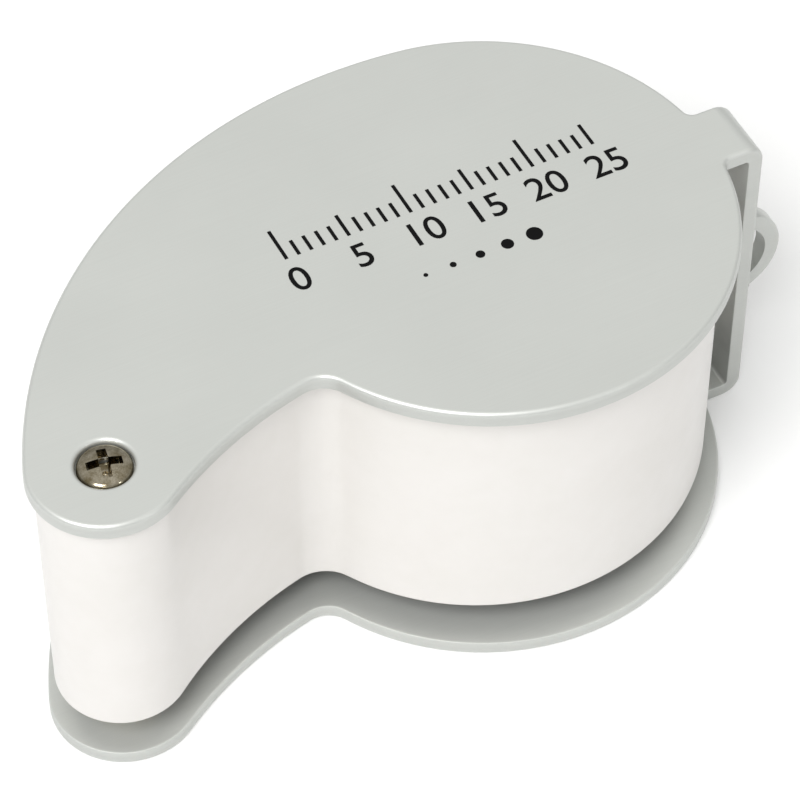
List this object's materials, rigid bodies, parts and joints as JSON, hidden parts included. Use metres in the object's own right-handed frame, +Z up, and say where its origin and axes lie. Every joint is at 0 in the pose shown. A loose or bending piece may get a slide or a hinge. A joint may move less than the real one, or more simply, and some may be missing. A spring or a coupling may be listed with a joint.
{
  "type": "folding viewing loupe",
  "caption": "Folding pocket loupe: a white lens body with lamps and batteries swings on a screw pivot out of a comma-shaped cover folded from sheet metal.",
  "frame": {"origin": "on the underside of the cover's lower plate, where the axis of the folded-in lens meets it", "axes": "+Z up through the lens to the eye side, +X from the pivot towards the lens and the spine, +Y towards the long convex side"},
  "size_m": [0.0652, 0.0394, 0.0278],
  "materials": {
    "cover_metal": "brushed and clear anodised, satin",
    "nickel_screw": "nickel-plated steel, machined",
    "brass_pivot": "turned brass",
    "spring_steel": "tempered spring steel",
    "washer_nylon": "moulded nylon",
    "housing_white": "moulded ABS, light satin gloss",
    "frame_black": "moulded ABS, fine matt grain",
    "door_black": "moulded ABS, fine matt grain",
    "optical_acrylic": "polished acrylic, clear",
    "ring_black": "black anodised, turned",
    "lamp_epoxy": "clear epoxy",
    "tinned_lead": "tinned wire",
    "board_green": "glass-fibre board with green solder mask",
    "cell_steel": "nickel-plated steel can",
    "contact_nickel": "nickel-plated phosphor bronze",
    "switch_steel": "tinned steel sheet",
    "knob_black": "moulded nylon",
    "small_screw_black": "black oxide steel",
    "wire_red_jacket": "flexible PVC",
    "wire_black_jacket": "flexible PVC",
    "wire_blue_jacket": "flexible PVC"
  },
  "bodies": {
    "cover": {"folded_cover": "cover_metal", "pivot_post": "brass_pivot", "pivot_screw_top": "nickel_screw", "pivot_screw_bottom": "nickel_screw", "upper_washer": "washer_nylon", "spacer_collar": "washer_nylon", "disc_spring": "spring_steel"},
    "lens_body": {"housing_band": "housing_white", "inner_frame": "frame_black", "object_side_cover": "frame_black", "battery_door": "door_black", "eye_lens": "optical_acrylic", "eye_retaining_ring": "ring_black", "field_lens": "optical_acrylic", "field_retaining_ring": "ring_black", "upper_pivot_bush": "brass_pivot", "lower_pivot_bush": "brass_pivot", "led_lamps": "lamp_epoxy", "led_leads": "tinned_lead", "lamp_board": "board_green", "button_cells": "cell_steel", "battery_contact_upper": "contact_nickel", "battery_contact_lower": "contact_nickel", "switch_case": "switch_steel", "switch_board": "board_green", "object_cover_screw": "small_screw_black", "battery_door_screw": "small_screw_black", "wire_red": "wire_red_jacket", "wire_black": "wire_black_jacket", "wire_blue": "wire_blue_jacket"},
    "switch_knob": {"switch_knob": "knob_black"}
  },
  "joints": [
    {"name": "lens_body_swing", "type": "hinge", "parent": "cover", "child": "lens_body", "pos_m": [-0.0348, 0, 0], "axis": [0, 0, 1], "continuous": true},
    {"name": "switch_slide", "type": "slide", "parent": "lens_body", "child": "switch_knob", "axis": [0.9997, 0.0227, 0], "range_m": [0, 0.002]}
  ]
}
